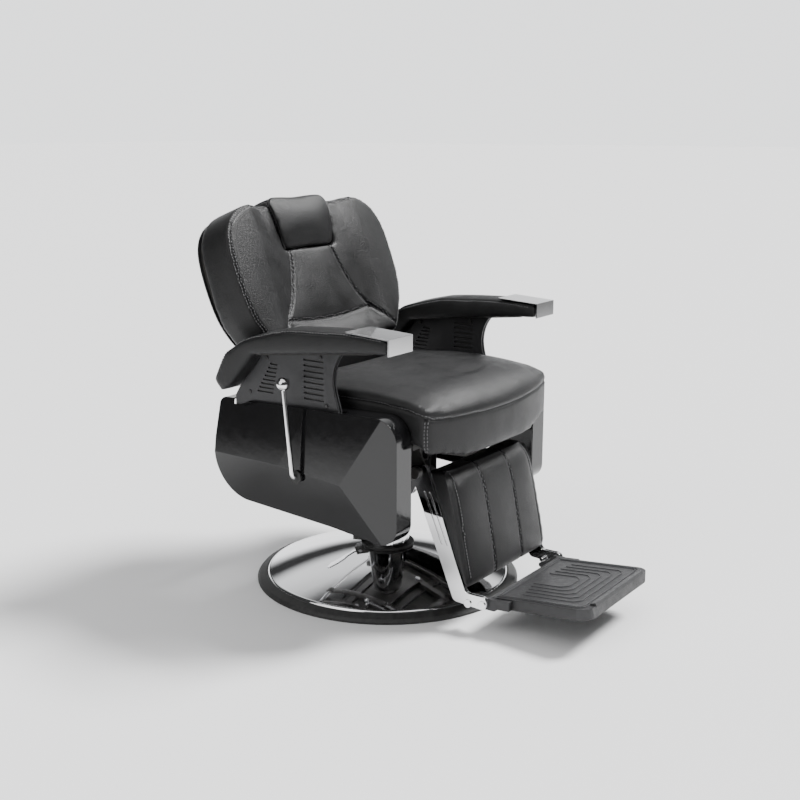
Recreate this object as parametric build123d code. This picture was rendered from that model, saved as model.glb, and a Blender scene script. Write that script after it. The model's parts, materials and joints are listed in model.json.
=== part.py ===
from build123d import *
import os
from math import atan2, cos, degrees, hypot, radians, sin

# Hydraulic barber chair. Millimetres, +Z up. The origin is on the floor at the centre of the
# round base. The sitter faces -Y, so -X is the sitter's right, the side of the reclining lever.

# Base and pump
BASE_R = 320
PLATE_R = 295.5
PLATE_T = 8
COLUMN_R = 53.5
COLUMN_TOP = 300
DISC_TOP = 80
ROD_R = 24
ROD_TOP = 344.8
RUNNING = 0.05

# Foot pedal: its direction round the column, and its hinge
PEDAL_ANGLE = 115
PEDAL_HINGE_R = 72
PEDAL_HINGE_Z = 105
PLUNGER_R = 41

# Seat frame
PLATE_Z = 348
RAIL_Z = 356
RAIL_TOP = 392
RAIL_IN = 130
RAIL_OUT = 156
BRACKET_OUT = 162
HANGER_IN = 134
HANGER_OUT = 146
LINK_IN = 162.5
LINK_OUT = 167.5
IRON_IN = 168
IRON_OUT = 178
BOARD_Z = 408
SEAT_Z = 420
BEAM_Y = (-85, 115)

# Pivots, as (y, z)
LEG_PIVOT = (-204, 336)
BACK_PIVOT = (190, 380)
CRANK = (20.0, -40.3)
PIVOT_R = 8
GAS_X = -95
GAS_FOOT = (-185, 318)
LEVER_PIVOT = (6, 328)
LEVER_TIP = (27, 537)
LEVER_X = -350
LEVER_R = 5
GAS_ROD_END = 200
GAS_BORE_END = 238

# Footplate pivots on the feet of the leg bars
FOOT_HINGE = (-380, 66)
FOOT_STOP = (-344, 62)
FOOT_PIN_R = 5

# Side covers
COVER_IN = 265
COVER_EDGE = 320
COVER_PEAK = 338
WALL = 3

# Arms
ARM_IN = 264
ARM_OUT = 351
CORE_IN = 302
CORE_OUT = 306
LOUVRE_T = 4
ARM_SLOPE = 0.111
ARM_UNDER = 601.8

# Back rest: its lean, its lumbar line on the front face, and depths behind that face
LEAN = 20.9
LUMBAR = (170, 633)
WING = -19
CUSHION_BACK = 80
BOARD_BACK = 92
PANEL_BACK = 95
NOTCH_FLOOR = 172

BACK_FACE = Plane(origin=(0, *LUMBAR), x_dir=(1, 0, 0),
                  z_dir=(0, -cos(radians(LEAN)), sin(radians(LEAN))))
BACK_SECTION = Plane(origin=(0, *LUMBAR), x_dir=(1, 0, 0),
                     z_dir=(0, sin(radians(LEAN)), cos(radians(LEAN))))
REARWARDS = (0, cos(radians(LEAN)), -sin(radians(LEAN)))


# ---------------------------------------------------------------- shape helpers

def save(name, *solids):
    """Write one node: every solid given goes into it as a separate solid."""
    pieces = [solid for item in solids for solid in item.solids()]
    shape = pieces[0] if len(pieces) == 1 else Compound(children=pieces)
    export_step(shape, f"parts/{name}.step")


def flip(shape):
    """The same shape on the other side of the chair."""
    return mirror(shape, about=Plane.YZ)


def pair(shape):
    return shape, flip(shape)


def outline(points, radius=0):
    """A closed outline, whose points may go round either way."""
    turn = sum(a[0] * b[1] - b[0] * a[1] for a, b in zip(points, points[1:] + points[:1]))
    face = Polygon(*(points if turn > 0 else points[::-1]), align=None)
    if radius:
        face = fillet(face.vertices(), radius)
    return face


def side_plate(face, x_low, x_high):
    """A side view drawn in (y, z), made solid from x_low to x_high."""
    return extrude(Plane.YZ.offset(x_low) * face, x_high - x_low, dir=(1, 0, 0))


def bar_outline(start, end, radius):
    """A flat bar's round-ended side view between two points."""
    middle = Pos((start[0] + end[0]) / 2, (start[1] + end[1]) / 2)
    length = hypot(end[0] - start[0], end[1] - start[1])
    angle = degrees(atan2(end[1] - start[1], end[0] - start[0]))
    return middle * SlotCenterToCenter(length, 2 * radius, rotation=angle)


def upright(face, height):
    """A plan view drawn in (x, y), made solid from the floor up to a height."""
    return extrude(face, height, dir=(0, 0, 1))


def pin(centre, x_low, x_high, radius):
    return side_plate(Pos(*centre) * Circle(radius), x_low, x_high)


def post(x, y, z_low, z_high, radius):
    return Pos(x, y, (z_low + z_high) / 2) * Cylinder(radius, z_high - z_low)


def ring(z_low, z_high, r_out, r_in, x=0, y=0):
    return post(x, y, z_low, z_high, r_out) - post(x, y, z_low, z_high, r_in)


def block(x_low, x_high, y_low, y_high, z_low, z_high):
    middle = Pos((x_low + x_high) / 2, (y_low + y_high) / 2, (z_low + z_high) / 2)
    return middle * Box(x_high - x_low, y_high - y_low, z_high - z_low)


def revolved(face):
    """A section drawn in (radius, z), turned about the column."""
    return revolve(Plane.XZ * face, axis=Axis.Z)


def round_pedal(shape):
    """A shape drawn with the pedal along +X, turned to where the pedal stands."""
    return Rot(0, 0, PEDAL_ANGLE) * shape


def add(point, vector):
    return point[0] + vector[0], point[1] + vector[1]


def back_point(up, behind):
    """A (y, z) point, from its distance up the back rest and its depth behind the front face."""
    lean = radians(LEAN)
    return (LUMBAR[0] + up * sin(lean) + behind * cos(lean),
            LUMBAR[1] + up * cos(lean) - behind * sin(lean))


def on_back(face, front, rear):
    """A front view drawn in (x, distance up the back), made solid between two depths."""
    return extrude(BACK_FACE.offset(-front) * face, rear - front, dir=REARWARDS)


def holes(bolts):
    """One shape to cut from a plate, from a list of bolts."""
    cut = bolts[0]
    for bolt in bolts[1:]:
        cut = cut + bolt
    return cut


# ---------------------------------------------------------------- base

def disc_section():
    """The domed disc's section: rolled lip, then a shallow dome up to the column."""
    lip = 289
    hole = 60
    gauge = 3.5
    middle = (lip + hole) / 2
    edges = [
        Line((PLATE_R, PLATE_T), (PLATE_R, 15)),
        ThreePointArc((PLATE_R, 15), (PLATE_R - 1.8, 20.6), (lip, 23)),
        ThreePointArc((lip, 23), (middle, 58), (hole, DISC_TOP)),
        Line((hole, DISC_TOP), (hole, DISC_TOP - gauge)),
        ThreePointArc((hole, DISC_TOP - gauge), (middle, 58 - gauge), (lip, 23 - gauge)),
        ThreePointArc((lip, 23 - gauge), (PLATE_R - 4.2, 18), (PLATE_R - gauge, 14)),
        Line((PLATE_R - gauge, 14), (PLATE_R - gauge, PLATE_T)),
        Line((PLATE_R - gauge, PLATE_T), (PLATE_R, PLATE_T)),
    ]
    return make_face(edges)


def base_bolts():
    bolts = []
    for step in range(4):
        turn = Rot(0, 0, 45 + 90 * step)
        shank = post(76, 0, 2, 20, 6)
        head = Pos(76, 0, 24) * extrude(RegularPolygon(10, 6), 4, both=True)
        bolts.append(turn * (shank + head))
    return bolts


def make_base():
    bolts = base_bolts()
    ring_face = outline([(PLATE_R + 0.1, 0), (BASE_R, 0), (BASE_R, 5), (BASE_R - 5, 11),
                         (PLATE_R + 4, 18), (PLATE_R + 0.1, 18)])
    save("floor_ring", revolved(ring_face))
    save("ballast_plate", post(0, 0, 0, PLATE_T, PLATE_R) - holes(bolts))
    save("base_disc", revolved(disc_section()))
    save("pump_flange", ring(PLATE_T, 20, 96, COLUMN_R) - holes(bolts))
    save("flange_bolts", *bolts)
    save("column_collar", ring(DISC_TOP + 0.2, DISC_TOP + 7, 65, COLUMN_R + 0.1))


def make_pump():
    window = round_pedal(block(40, 60, -9, 9, 93, 128))
    save("pump_tube", ring(PLATE_T, COLUMN_TOP, COLUMN_R, COLUMN_R - 4) - window)
    gland = ring(COLUMN_TOP, 307, COLUMN_R, ROD_R + RUNNING)
    gland += ring(282, COLUMN_TOP, COLUMN_R - 4.1, ROD_R + RUNNING)
    save("pump_gland", gland)
    save("wiper_seal", ring(307, 311, 31, ROD_R + 0.1))
    save("inner_cylinder", ring(32, 281.8, 33, 29) + post(0, 0, PLATE_T, 32, 33))
    barrel = post(PLUNGER_R, 0, 152, 205, 7.4) - post(PLUNGER_R, 0, 151, 200, 4.5 + RUNNING)
    save("plunger_barrel", round_pedal(barrel))
    plunger = post(PLUNGER_R, 0, 110, 170, 4.5) + post(PLUNGER_R, 0, 110, 114, 7)
    save("pump_plunger", round_pedal(plunger))
    spring = Helix(pitch=6.3, height=36, radius=6, center=(0, 0, 0))
    wire = sweep(Plane(origin=spring @ 0, z_dir=spring % 0) * Circle(0.7), path=spring)
    save("plunger_spring", round_pedal(Pos(PLUNGER_R, 0, 115) * wire))


def make_pedal():
    hinge = (PEDAL_HINGE_R, PEDAL_HINGE_Z)
    spine = [(38, 106), (PEDAL_HINGE_R, 106), (98, 112), (145, 140), (186, 156)]
    upper = [(r, z + 3) for r, z in spine]
    lower = [(r, z - 3) for r, z in reversed(spine)]
    band = extrude(Plane.XZ * outline(upper + lower), 20, both=True)
    tongue = Pos(0, 0, 100) * extrude(bar_outline((38, 0), (110, 0), 6), 60, both=True)
    paddle = Pos(0, 0, 100) * extrude(bar_outline((128, 0), (172, 0), 16), 80, both=True)
    hub = Pos(hinge[0], 0, hinge[1]) * Rot(90, 0, 0) * Cylinder(9, 16)
    bore = Pos(hinge[0], 0, hinge[1]) * Rot(90, 0, 0) * Cylinder(5 + RUNNING, 60)
    bevel = Pos(0, 0, 100) * extrude(bar_outline((100, 0), (130, 0), 9), 80, both=True)
    save("foot_pedal", round_pedal((band & (tongue + paddle + bevel)) + hub - bore))
    bracket = block(50, 84, -14, 14, 87.5, 119) - block(40, 90, -8.2, 8.2, 94, 130)
    bracket -= post(0, 0, 80, 130, COLUMN_R + 0.05)
    save("pedal_bracket", round_pedal(bracket - bore))
    axle = Pos(hinge[0], 0, hinge[1]) * Rot(90, 0, 0) * Cylinder(5, 32)
    save("pedal_pin", round_pedal(axle))


def make_piston():
    save("piston_rod", post(0, 0, 60, ROD_TOP, ROD_R))
    save("piston_head", post(0, 0, 40, 60, 29 - RUNNING))


# ---------------------------------------------------------------- seat frame

def mount_bolts():
    bolts = []
    for x in (-143, 143):
        for y in (-48, 48):
            bolts.append(post(x, y, PLATE_Z, RAIL_Z + 6, 5) + post(x, y, PLATE_Z - 6, PLATE_Z, 9))
    return bolts


def make_seat_frame():
    bolts = mount_bolts()
    socket = post(0, 0, 312.5, PLATE_Z, 36) - post(0, 0, 312, 345, ROD_R + RUNNING)
    save("swivel_socket", socket)
    plate = block(-RAIL_OUT, RAIL_OUT, -65, 65, PLATE_Z, RAIL_Z) - holes(bolts)
    plate += block(-HANGER_OUT, -HANGER_IN, -6, 18, 316, PLATE_Z)
    save("mount_plate", plate - pin(LEVER_PIVOT, -160, -120, LEVER_R + RUNNING))
    save("mount_bolts", *bolts)
    rail = block(RAIL_IN, RAIL_OUT, -205, 210, RAIL_Z, RAIL_TOP)
    rail -= block(RAIL_IN + 2.5, RAIL_OUT - 2.5, -206, 211, RAIL_Z + 2.5, RAIL_TOP - 2.5)
    save("seat_rails", rail - holes(bolts), flip(rail - holes(bolts)))
    tube = block(-RAIL_IN, RAIL_IN, -201, -175, 360, 388)
    tube -= block(-RAIL_IN - 1, RAIL_IN + 1, -198.5, -177.5, 362.5, 385.5)
    lug = bar_outline(GAS_FOOT, (GAS_FOOT[0], 352), 11)
    lug += Pos(GAS_FOOT[0], 352) * Rectangle(22, 16)
    lug -= Pos(*GAS_FOOT) * Circle(5)
    for x_low in (GAS_X - 13, GAS_X + 9):
        tube += side_plate(lug, x_low, x_low + 4)
    tube += pin(GAS_FOOT, GAS_X - 16, GAS_X + 16, 5)
    save("front_tube", tube)
    beams = [block(-CORE_IN, CORE_IN, y - 15, y + 15, RAIL_TOP, BOARD_Z) for y in BEAM_Y]
    save("cross_beams", *beams)
    front = bar_outline(LEG_PIVOT, (LEG_PIVOT[0] + 18, 372), 19)
    front += Pos(-165, 374) * Rectangle(78, 34)
    rear = Pos(165, 374) * Rectangle(86, 34) + bar_outline((165, 374), BACK_PIVOT, 19)
    front -= Pos(*LEG_PIVOT) * Circle(PIVOT_R)
    rear -= Pos(*BACK_PIVOT) * Circle(PIVOT_R)
    brackets = [side_plate(face, RAIL_OUT, BRACKET_OUT) for face in (front, rear)]
    save("pivot_brackets", *pair(brackets[0]), *pair(brackets[1]))
    fasteners = []
    for centre in (LEG_PIVOT, BACK_PIVOT):
        shank = pin(centre, RAIL_OUT, IRON_OUT + 0.4, PIVOT_R) + pin(centre, IRON_OUT + 0.4, 186, 13)
        spacer = pin(centre, BRACKET_OUT, IRON_IN - 0.2, 12) - pin(centre, 150, 190, PIVOT_R)
        fasteners += [*pair(shank), *pair(spacer)]
    save("pivot_bolts", *fasteners)


def make_seat():
    save("seat_board", block(-250, 250, -245, 112, BOARD_Z, SEAT_Z))
    side = outline([(116, 420.5), (116, 508), (90, 522), (-60, 531), (-250, 528), (-308, 510),
                    (-325, 470), (-325, 392), (-316, 379), (-258, 424), (-250, 420.5)])
    plan = make_face([Line((-262, 116), (262, 116)), Line((262, 116), (262, -286)),
                      ThreePointArc((262, -286), (0, -325), (-262, -286)),
                      Line((-262, -286), (-262, 116))])
    save("seat_cushion", side_plate(side, -262, 262) & upright(plan, 600))


# ---------------------------------------------------------------- side covers

# Cover outline as (y, z) corners, each with the radius it is rounded to
COVER_CORNERS = [((-252, 207), 40), ((-80, 224), 20), ((150, 236), 20), ((267, 242), 98), ((263, 380), 20),
                 ((251, 474), 20), ((-20, 482), 20), ((-252, 489), 52)]


def below_plane(shape, p, q, r):
    """The part of a shape on the inner side of the plane through three (y, z, x) points."""
    corners = [Vector(x, y, z) for y, z, x in (p, q, r)]
    normal = (corners[1] - corners[0]).cross(corners[2] - corners[0]).normalized()
    if normal.X < 0:
        normal = normal * -1
    return split(shape, bisect_by=Plane(origin=corners[0], z_dir=normal), keep=Keep.BOTTOM)


def cover_body(inset):
    """The cover's outer form, made smaller all round by inset, with its creased outer face."""
    face = outline([corner for corner, _ in COVER_CORNERS])
    for (y, z), radius in COVER_CORNERS:
        face = fillet(face.vertices().sort_by_distance((y, z))[0], radius)
    if inset:
        face = offset(face, amount=-inset)
    body = side_plate(face, COVER_IN - (1 if inset else 0), COVER_PEAK + 5)
    peak = (-100, 344, COVER_PEAK - inset)
    ridge_end = (268, 343, COVER_EDGE + 3 - inset)
    knee = (61, 343.5, COVER_PEAK - inset - 6.6)
    edge = COVER_EDGE - inset
    top_break = (-18, 482, edge)
    body = below_plane(body, peak, ridge_end, top_break)
    body = below_plane(body, knee, top_break, (250, 476, edge - 5))
    body = below_plane(body, peak, ridge_end, (-80, 224, edge))
    body = below_plane(body, peak, (-246, 232, edge), (-246, 480, edge))
    return body


def make_covers():
    cover = cover_body(0) - cover_body(WALL)
    for y in BEAM_Y:
        cover += pin((y, 400), CORE_OUT, COVER_PEAK, 8) & cover_body(WALL - 0.5)
    slot = block(297, 313.5, -114, 210, 462, 500)
    cover = cover - slot
    grommet_hole = pin(LEVER_PIVOT, COVER_IN, COVER_PEAK + 10, 12)
    save("left_side_cover", cover)
    save("right_side_cover", flip(cover - grommet_hole))
    grommet = pin(LEVER_PIVOT, 324, 337, 12) + pin(LEVER_PIVOT, 337, 340, 15)
    grommet = grommet - pin(LEVER_PIVOT, 300, 350, LEVER_R + RUNNING)
    save("lever_grommet", flip(grommet))


# ---------------------------------------------------------------- arms

def arm_under(y):
    return ARM_UNDER - ARM_SLOPE * y


def louvre_front(shift):
    """The louvre plate's hollow front edge, or a line beside it at a distance rearwards."""
    points = [(-100, 440), (-92, 490), (-79, 545), (-86, 585)]
    top = -104 + shift
    return Spline(*[(y + shift, z) for y, z in points], (top, arm_under(top) - 0.5))


def louvre_face():
    """A louvre plate's side view: hollow front edge, sloped rear edge, straight top."""
    front = louvre_front(0)
    rear = Polyline(front @ 1, (122, arm_under(122) - 0.5), (191, 505), (204, 484), (204, 440), front @ 0)
    face = make_face([front, rear])
    for step in range(8):
        face -= Pos(-25, 502 + 12.3 * step) * SlotOverall(56, 4)
    for step in range(8):
        start = 91 - 2 * step
        end = 138 - 5.6 * step
        face -= Pos((start + end) / 2, 502 + 9.4 * step) * SlotOverall(end - start, 3.6)
    return face


def louvre_rim():
    """The raised band that follows the louvre plate's front edge."""
    front = louvre_front(0)
    inner = louvre_front(22)
    return make_face([front, inner, Line(front @ 0, inner @ 0), Line(front @ 1, inner @ 1)])


def louvre_screws():
    screws = []
    for centre in ((-45, 597), (-60, 492), (108, 580), (160, 496)):
        shank = pin(centre, CORE_IN - LOUVRE_T - 3, CORE_OUT + LOUVRE_T, 2.5)
        head = pin(centre, CORE_OUT + LOUVRE_T, CORE_OUT + LOUVRE_T + 2.5, 5)
        nut = pin(centre, CORE_IN - LOUVRE_T - 3, CORE_IN - LOUVRE_T, 4.5)
        screws.append(shank + fillet(head.edges().group_by(Axis.X)[-1], 1.5) + nut)
    return screws


def arm_board(below):
    """An arm's board, which can be carried on below the pad to cut the pocket it sits in."""
    rear, front = 112, -205
    face = outline([(front, arm_under(front) - below), (rear, arm_under(rear) - below),
                    (rear, arm_under(rear) + 9), (front, arm_under(front) + 9)])
    return side_plate(face, ARM_IN + 10, ARM_OUT - 10)


def make_arms():
    screws = louvre_screws()
    cut = holes(screws)
    core_face = outline([(-102, 392), (134, 392), (150, 480), (112, arm_under(112) - 0.5),
                         (-72, arm_under(-72) - 0.5), (-58, 545), (-72, 480)])
    core = side_plate(core_face, CORE_IN, CORE_OUT) - cut
    save("arm_cores", *pair(core))
    plate = louvre_face()
    outer = side_plate(plate, CORE_OUT, CORE_OUT + LOUVRE_T)
    outer += side_plate(louvre_rim(), CORE_OUT, CORE_OUT + LOUVRE_T + 2)
    inner = side_plate(plate, CORE_IN - LOUVRE_T, CORE_IN)
    save("outer_louvre_plates", *pair(outer - cut))
    save("inner_louvre_plates", *pair(inner - cut))
    save("louvre_screws", *[side for screw in screws for side in pair(screw)])
    board = arm_board(0)
    save("arm_boards", *pair(board))
    pad_face = outline([(-249, 628), (-212, arm_under(-212)), (124, arm_under(124)), (193, 506), (216, 496),
                        (238, 520), (203, 585), (142, 624), (25, 655), (-130, 664), (-249, 658)])
    pad = side_plate(pad_face, ARM_IN, ARM_OUT) - arm_board(6)
    save("left_arm_pad", pad)
    save("right_arm_pad", flip(pad))
    cap_face = outline([(-254, 627), (-254, 662.6), (-145, 669), (-145, 666), (-251, 659.8), (-251, 627)])
    cap = side_plate(cap_face, ARM_IN + 1, ARM_OUT - 1)
    save("arm_caps", *pair(cap))


# ---------------------------------------------------------------- back rest

BACK_SIDE = [(150, 288), (215, 284), (262, 260), (289, 222), (300, 165), (300, 95), (290, 35),
             (268, -12), (236, -60), (213, -108), (202, -145)]


def back_outline(inset=0):
    """Front view of the back rest in (x, up), smaller by inset, with the headrest's notch."""
    low, high = BACK_SIDE[-1][1], BACK_SIDE[0][1]
    middle = (low + high) / 2
    fit_x = 1 - inset / 300
    fit_up = 1 - 2 * inset / (high - low)
    side = [(x * fit_x, middle + (up - middle) * fit_up) for x, up in BACK_SIDE]
    top = side[0]
    foot = side[-1]
    notch_top = (106 + inset, top[1])
    notch_foot = (95 + inset, NOTCH_FLOOR - inset)
    half = [Spline(*side), Polyline(top, notch_top, notch_foot, (0, notch_foot[1])),
            Line(foot, (0, foot[1]))]
    return make_face(half + [mirror(edge, about=Plane.YZ) for edge in half])


def iron_shape():
    """Side view of a back iron: a strip up inside the back rest, the pivot eye and the crank."""
    strip = outline([back_point(60, 62), back_point(60, BOARD_BACK), back_point(-145, BOARD_BACK),
                     back_point(-145, 62)])
    shape = strip + bar_outline(BACK_PIVOT, back_point(-135, 75), 14)
    shape += Pos(*BACK_PIVOT) * Circle(20)
    shape += bar_outline(BACK_PIVOT, add(BACK_PIVOT, CRANK), 14)
    return shape - Pos(*BACK_PIVOT) * Circle(PIVOT_R + RUNNING)


def socket_block(x, inset, low, high):
    """A flat box round a headrest post, from low to high up the back rest."""
    face = Pos(x, (low + high) / 2) * Rectangle(30 - 2 * inset, high - low)
    return on_back(face, 30 + inset, 46 - inset)


def make_back():
    crank_pin = add(BACK_PIVOT, CRANK)
    iron = side_plate(iron_shape(), IRON_IN, IRON_OUT)
    iron = iron - pin(crank_pin, 100, 200, PIVOT_R)
    save("back_irons", *pair(iron))
    save("crank_shaft", pin(crank_pin, -IRON_OUT, IRON_OUT, PIVOT_R))
    trough = outline([(-195, WING - 1), (-150, 0), (150, 0), (195, WING - 1)])
    trough = extrude(BACK_SECTION.offset(-150) * trough, 450, dir=tuple(BACK_SECTION.z_dir))
    trough += on_back(outline([(-310, -160), (310, -160), (310, -70), (-310, -70)]), WING - 1, 0)
    irons = side_plate(iron_shape(), IRON_IN, IRON_OUT)
    irons = irons + flip(irons)
    sockets = [socket_block(x, 0, 50, NOTCH_FLOOR) for x in (-45, 45)]
    cushion = on_back(back_outline(), WING, CUSHION_BACK) - trough - irons - sockets[0] - sockets[1]
    save("back_cushion", cushion)
    save("back_board", on_back(back_outline(12), CUSHION_BACK, BOARD_BACK) - irons)
    save("rear_panel", on_back(back_outline(6), BOARD_BACK, PANEL_BACK))
    tubes = [socket - socket_block(x, 4, 45, NOTCH_FLOOR + 5) for socket, x in zip(sockets, (-45, 45))]
    save("headrest_sockets", *tubes)


def make_headrest():
    face = outline([(-86, 178), (86, 178), (102, 306), (-102, 306)], 22)
    pad = on_back(face, 6, 72)
    posts = [socket_block(x, 4.3, 55, 200) for x in (-45, 45)]
    save("headrest_pad", pad - posts[0] - posts[1])
    save("headrest_posts", *posts)


# ---------------------------------------------------------------- leg rest

def leg_bar_face():
    """Side view of a leg bar: pivot eye, sloping shank, heel and foot."""
    points = [(-184, 350), (-216, 275), (-270, 147), (-306, 60), (-391, 54), (-391, 84), (-338, 84),
              (-309, 155), (-261, 284), (-230, 358)]
    face = outline(points)
    return fillet([corner for corner in face.vertices() if not 90 < corner.Y < 340], 13)


def make_leg_rest():
    link_pin = add(LEG_PIVOT, CRANK)
    face = leg_bar_face() + bar_outline(LEG_PIVOT, link_pin, 14)
    face -= Pos(*LEG_PIVOT) * Circle(PIVOT_R + RUNNING)
    grooves = [bar_outline((-228 + shift, 296), (-274 + shift, 186), 2) for shift in (-14, 0)]
    bar = side_plate(face, IRON_IN, IRON_OUT)
    for groove in grooves:
        bar -= side_plate(groove, IRON_OUT - 1.5, IRON_OUT + 1)
    for centre in (FOOT_HINGE, FOOT_STOP):
        bar -= pin(centre, 150, 200, FOOT_PIN_R)
    tube_at = (-262, 200)
    save("left_leg_bar", bar + pin(link_pin, LINK_IN - 0.5, IRON_IN, 6))
    save("right_leg_bar", flip(bar + pin(link_pin, LINK_IN - 0.5, IRON_IN, 6)))
    tube = pin(tube_at, -IRON_IN, IRON_IN, 9) - pin(tube_at, -200, 200, 6.5)
    save("leg_cross_tube", tube)
    board = outline([(-243, 335), (-318, 133), (-326, 133), (-252, 335)])
    board = side_plate(board, -165, 165)
    save("leg_board", board)
    pad = outline([(-238, 347), (-262, 284), (-310, 155), (-334, 94), (-349, 96), (-326, 220),
                   (-301, 350)])
    pad = side_plate(pad, -180, 180) - board
    save("leg_pad", pad)
    screws = []
    for centre in (FOOT_HINGE, FOOT_STOP):
        screws.append(pin(centre, 156, IRON_OUT, FOOT_PIN_R) + pin(centre, IRON_OUT, IRON_OUT + 3, 9))
    save("footplate_pins", *[side for screw in screws for side in pair(screw)])


def foot_section(inset, drop=0):
    """Side view of the footplate's pan, rising towards the toes."""
    return outline([(-388 - inset, 79 - inset), (-621 + inset, 102.5 - inset),
                    (-624 + inset, 78 - drop), (-388 - inset, 55 - drop)])


def foot_plan(inset):
    face = outline([(-153 + inset, -388), (153 - inset, -388), (153 - inset, -624 + inset),
                    (-153 + inset, -624 + inset)])
    return fillet(face.vertices().group_by(Axis.Y)[0], 32 - inset)


def make_footplate():
    pan = side_plate(foot_section(0), -153, 153) & upright(foot_plan(0), 200)
    hollow = side_plate(foot_section(4, 20), -149, 149) & upright(foot_plan(4), 200)
    lip = outline([(-608, 100), (-608, 104.5), (-620, 108.5), (-623, 100)])
    lip = side_plate(lip, -118, 118)
    ear = bar_outline(FOOT_HINGE, (-400, 66), 13) + bar_outline(FOOT_HINGE, (-343, 49), 6)
    ear -= Pos(*FOOT_STOP) * Circle(FOOT_PIN_R + 0.4)
    ear -= Pos(*FOOT_HINGE) * Circle(FOOT_PIN_R + RUNNING)
    wing = outline([(-388, 57), (-388, 77), (-440, 82), (-440, 61)])
    plate = pan - hollow + lip
    for side in (1, -1):
        lug = side_plate(ear + wing, 149, 166)
        lug -= block(140, 156.3, -386, -300, 0, 200)
        plate = plate + (lug if side == 1 else flip(lug))
    save("footplate", plate)


# ---------------------------------------------------------------- recline linkage and lever

def make_linkage():
    rear = add(BACK_PIVOT, CRANK)
    front = add(LEG_PIVOT, CRANK)
    low_rear = (60, 296)
    low_front = (-70, 288)
    face = bar_outline(rear, low_rear, 9) + bar_outline(low_rear, low_front, 9)
    face += bar_outline(low_front, front, 9)
    face += Pos(*rear) * Circle(15)
    face += Pos(*front) * Circle(13)
    face -= Pos(*rear) * Circle(PIVOT_R + RUNNING)
    face -= Pos(*front) * Circle(6.6)
    link = side_plate(face, LINK_IN, LINK_OUT)
    save("recline_links", *pair(link))


def make_gas_spring():
    eye = add(BACK_PIVOT, CRANK)
    run = (eye[0] - GAS_FOOT[0], eye[1] - GAS_FOOT[1])
    length = hypot(*run)
    way = (0, run[0] / length, run[1] / length)
    start = Vector(GAS_X, *GAS_FOOT)

    def stick(low, high, radius):
        plane = Plane(origin=start + Vector(*way) * low, z_dir=way)
        return extrude(plane * Circle(radius), high - low)

    rod = stick(10, GAS_ROD_END, 5) + pin(GAS_FOOT, GAS_X - 8.5, GAS_X + 8.5, 12)
    save("gas_rod", rod - pin(GAS_FOOT, GAS_X - 20, GAS_X + 20, 5 + RUNNING))
    body = stick(128, length - 14, 13) - stick(127, GAS_BORE_END, 5 + RUNNING)
    body += pin(eye, GAS_X - 9, GAS_X + 9, 17)
    save("gas_cylinder", body - pin(eye, GAS_X - 20, GAS_X + 20, PIVOT_R + 3.5))


def make_lever():
    shaft_end = -114
    path = FilletPolyline((shaft_end, *LEVER_PIVOT), (LEVER_X, *LEVER_PIVOT), (LEVER_X, *LEVER_TIP),
                          radius=10)
    rod = sweep(Plane(origin=path @ 0, z_dir=path % 0) * Circle(LEVER_R), path=path)
    crank_pin = add(LEVER_PIVOT, (0, -25))
    crank = side_plate(bar_outline(LEVER_PIVOT, crank_pin, 8), shaft_end - 6, shaft_end)
    crank += pin(crank_pin, shaft_end - 13, shaft_end - 6, 3)
    save("recline_lever", rod + crank)
    ball = Pos(LEVER_X, *LEVER_TIP) * Sphere(15)
    save("lever_ball", ball - rod)
    eye = pin(crank_pin, shaft_end - 12.5, shaft_end - 7, 9) - pin(crank_pin, -140, -100, 5)
    stem = Pos(shaft_end - 9.7, -80, crank_pin[1]) * Rot(90, 0, 0) * Cylinder(2.5, 158)
    save("release_rod", eye + (stem - pin(crank_pin, -140, -100, 6)))


os.makedirs("parts", exist_ok=True)
make_base()
make_pump()
make_pedal()
make_piston()
make_seat_frame()
make_seat()
make_covers()
make_arms()
make_back()
make_headrest()
make_leg_rest()
make_footplate()
make_linkage()
make_gas_spring()
make_lever()
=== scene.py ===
import json
import math

import bpy
import numpy as np
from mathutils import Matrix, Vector
from mathutils.bvhtree import BVHTree

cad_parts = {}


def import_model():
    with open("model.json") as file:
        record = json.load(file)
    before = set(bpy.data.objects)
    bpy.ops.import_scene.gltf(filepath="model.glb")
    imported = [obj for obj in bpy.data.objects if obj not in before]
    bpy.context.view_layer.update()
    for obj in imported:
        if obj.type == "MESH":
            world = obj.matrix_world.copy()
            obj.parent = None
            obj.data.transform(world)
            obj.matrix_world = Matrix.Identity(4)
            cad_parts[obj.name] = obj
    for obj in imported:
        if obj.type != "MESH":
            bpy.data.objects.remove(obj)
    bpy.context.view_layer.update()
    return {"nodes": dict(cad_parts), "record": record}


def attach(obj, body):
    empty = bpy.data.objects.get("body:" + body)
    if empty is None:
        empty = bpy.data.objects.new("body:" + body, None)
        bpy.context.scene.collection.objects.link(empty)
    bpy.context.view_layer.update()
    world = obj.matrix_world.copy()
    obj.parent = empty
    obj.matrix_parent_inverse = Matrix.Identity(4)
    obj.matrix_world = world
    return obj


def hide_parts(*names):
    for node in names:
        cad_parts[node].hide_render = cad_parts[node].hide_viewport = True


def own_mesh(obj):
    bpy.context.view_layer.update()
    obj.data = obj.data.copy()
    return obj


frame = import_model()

SCENE = bpy.context.scene
MM = 0.001

# the back rest's own directions: up along it and into it, measured from its lumbar seam
LEAN = math.radians(20.9)
LUMBAR = np.array((0.0, 0.170, 0.633))
UP = np.array((0.0, math.sin(LEAN), math.cos(LEAN)))
REAR = np.array((0.0, math.cos(LEAN), -math.sin(LEAN)))

# the leg pad's front face
LEG_FRONT = np.array((0, -0.983, 0.186))

SIM_FRAMES = 20


# ---------------------------------------------------------------- node helpers for materials

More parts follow.
